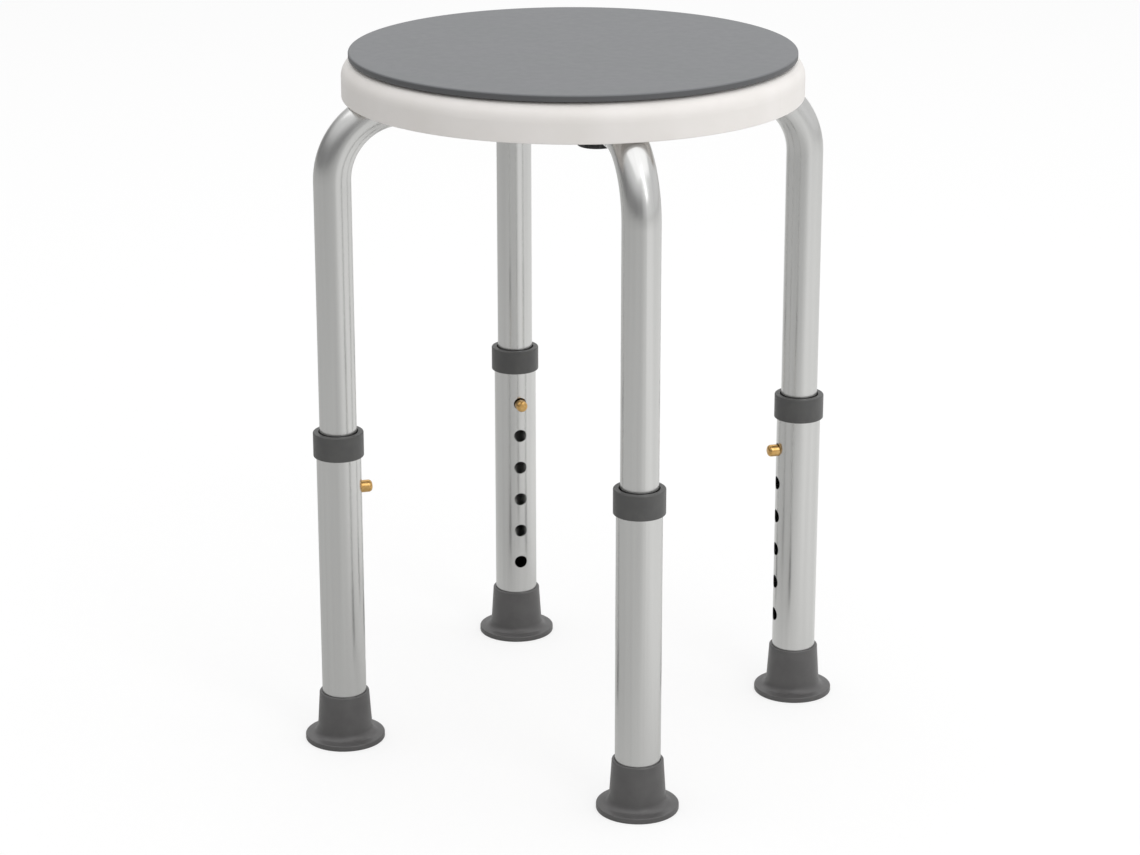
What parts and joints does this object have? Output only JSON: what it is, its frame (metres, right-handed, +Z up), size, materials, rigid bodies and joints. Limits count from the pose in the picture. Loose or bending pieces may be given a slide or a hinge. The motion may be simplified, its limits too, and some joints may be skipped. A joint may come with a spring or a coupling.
{
  "type": "shower stool",
  "caption": "Round backless shower stool with a turning padded seat on bent tube legs that adjust in height with snap buttons.",
  "frame": {"origin": "centre of the four feet on the floor, under the seat's axis", "axes": "+Z up along the seat's axis; the legs stand on the diagonals, front is -Y and right is +X"},
  "size_m": [0.311, 0.311, 0.482],
  "materials": {
    "white_plastic": "white moulded polypropylene, satin",
    "grey_pad": "grey closed-cell foam, fine matte skin",
    "tube": "clear anodised aluminium tube, satin",
    "grey_plastic": "dark grey moulded polypropylene",
    "grey_rubber": "dark grey moulded rubber",
    "brass_button": "turned brass",
    "black_plastic": "black moulded plastic",
    "dark_plastic": "dark moulded plastic",
    "nylon": "natural nylon",
    "zinc_steel": "zinc-plated steel",
    "spring_steel": "spring steel leaf",
    "bearing_steel": "polished bearing balls"
  },
  "bodies": {
    "frame": {"seat_base": "white_plastic", "lower_race": "zinc_steel", "race_screws": "zinc_steel", "insert_nuts": "brass_button", "saddle_washers": "dark_plastic", "leg_tube_front_right": "tube", "leg_tube_rear_right": "tube", "leg_tube_rear_left": "tube", "leg_tube_front_left": "tube", "tube_end_plug_front_right": "dark_plastic", "tube_end_plug_rear_right": "dark_plastic", "tube_end_plug_rear_left": "dark_plastic", "tube_end_plug_front_left": "dark_plastic", "glide_bush_front_right": "dark_plastic", "glide_bush_rear_right": "dark_plastic", "glide_bush_rear_left": "dark_plastic", "glide_bush_front_left": "dark_plastic", "button_spring_front_right": "spring_steel", "button_spring_rear_right": "spring_steel", "button_spring_rear_left": "spring_steel", "button_spring_front_left": "spring_steel"},
    "seat": {"seat_pad": "grey_pad", "carrier_disc": "dark_plastic", "carrier_rivets": "zinc_steel", "upper_race": "zinc_steel", "pivot_bolt": "zinc_steel", "pivot_washer": "zinc_steel", "pivot_nut": "zinc_steel"},
    "ball_ring": {"race_balls": "bearing_steel", "ball_cage": "nylon"},
    "leg_front_right": {"lower_tube_front_right": "tube", "collar_front_right": "grey_plastic", "foot_front_right": "grey_rubber", "foot_washer_front_right": "zinc_steel"},
    "button_front_right": {"snap_button_front_right": "brass_button"},
    "knob_front_right": {"hand_knob_front_right": "black_plastic", "knob_stud_front_right": "zinc_steel"},
    "leg_rear_right": {"lower_tube_rear_right": "tube", "collar_rear_right": "grey_plastic", "foot_rear_right": "grey_rubber", "foot_washer_rear_right": "zinc_steel"},
    "button_rear_right": {"snap_button_rear_right": "brass_button"},
    "knob_rear_right": {"hand_knob_rear_right": "black_plastic", "knob_stud_rear_right": "zinc_steel"},
    "leg_rear_left": {"lower_tube_rear_left": "tube", "collar_rear_left": "grey_plastic", "foot_rear_left": "grey_rubber", "foot_washer_rear_left": "zinc_steel"},
    "button_rear_left": {"snap_button_rear_left": "brass_button"},
    "knob_rear_left": {"hand_knob_rear_left": "black_plastic", "knob_stud_rear_left": "zinc_steel"},
    "leg_front_left": {"lower_tube_front_left": "tube", "collar_front_left": "grey_plastic", "foot_front_left": "grey_rubber", "foot_washer_front_left": "zinc_steel"},
    "button_front_left": {"snap_button_front_left": "brass_button"},
    "knob_front_left": {"hand_knob_front_left": "black_plastic", "knob_stud_front_left": "zinc_steel"}
  },
  "joints": [
    {"name": "seat_swivel", "type": "hinge", "parent": "frame", "child": "seat", "pos_m": [0, 0, 0.472], "axis": [0, 0, 1], "continuous": true},
    {"name": "ball_ring_turn", "type": "hinge", "parent": "frame", "child": "ball_ring", "pos_m": [0, 0, 0.4714], "axis": [0, 0, 1], "continuous": true},
    {"name": "leg_slide_front_right", "type": "slide", "parent": "frame", "child": "leg_front_right", "axis": [0, 0, 1], "range_m": [0, 0.125], "deforming": ["snap_button_front_right"]},
    {"name": "button_press_front_right", "type": "slide", "parent": "frame", "child": "button_front_right", "axis": [0.7071, -0.7071, 0], "range_m": [0, 0.0089], "stiffness_N_per_m": 1500, "deforming": ["button_spring_front_right"]},
    {"name": "knob_turn_front_right", "type": "hinge", "parent": "frame", "child": "knob_front_right", "pos_m": [0.04207, -0.04207, 0.4319], "axis": [0, 0, 1], "range_deg": [0, 360]},
    {"name": "leg_slide_rear_right", "type": "slide", "parent": "frame", "child": "leg_rear_right", "axis": [0, 0, 1], "range_m": [0, 0.125], "deforming": ["snap_button_rear_right"]},
    {"name": "button_press_rear_right", "type": "slide", "parent": "frame", "child": "button_rear_right", "axis": [0.7071, 0.7071, 0], "range_m": [0, 0.0089], "stiffness_N_per_m": 1500, "deforming": ["button_spring_rear_right"]},
    {"name": "knob_turn_rear_right", "type": "hinge", "parent": "frame", "child": "knob_rear_right", "pos_m": [0.04207, 0.04207, 0.4319], "axis": [0, 0, 1], "range_deg": [0, 360]},
    {"name": "leg_slide_rear_left", "type": "slide", "parent": "frame", "child": "leg_rear_left", "axis": [0, 0, 1], "range_m": [0, 0.125], "deforming": ["snap_button_rear_left"]},
    {"name": "button_press_rear_left", "type": "slide", "parent": "frame", "child": "button_rear_left", "axis": [-0.7071, 0.7071, 0], "range_m": [0, 0.0089], "stiffness_N_per_m": 1500, "deforming": ["button_spring_rear_left"]},
    {"name": "knob_turn_rear_left", "type": "hinge", "parent": "frame", "child": "knob_rear_left", "pos_m": [-0.04207, 0.04207, 0.4319], "axis": [0, 0, 1], "range_deg": [0, 360]},
    {"name": "leg_slide_front_left", "type": "slide", "parent": "frame", "child": "leg_front_left", "axis": [0, 0, 1], "range_m": [0, 0.125], "deforming": ["snap_button_front_left"]},
    {"name": "button_press_front_left", "type": "slide", "parent": "frame", "child": "button_front_left", "axis": [-0.7071, -0.7071, 0], "range_m": [0, 0.0089], "stiffness_N_per_m": 1500, "deforming": ["button_spring_front_left"]},
    {"name": "knob_turn_front_left", "type": "hinge", "parent": "frame", "child": "knob_front_left", "pos_m": [-0.04207, -0.04207, 0.4319], "axis": [0, 0, 1], "range_deg": [0, 360]}
  ],
  "couplings": [
    {"joint": "ball_ring_turn", "follows": "seat_swivel", "ratio": 0.5}
  ]
}
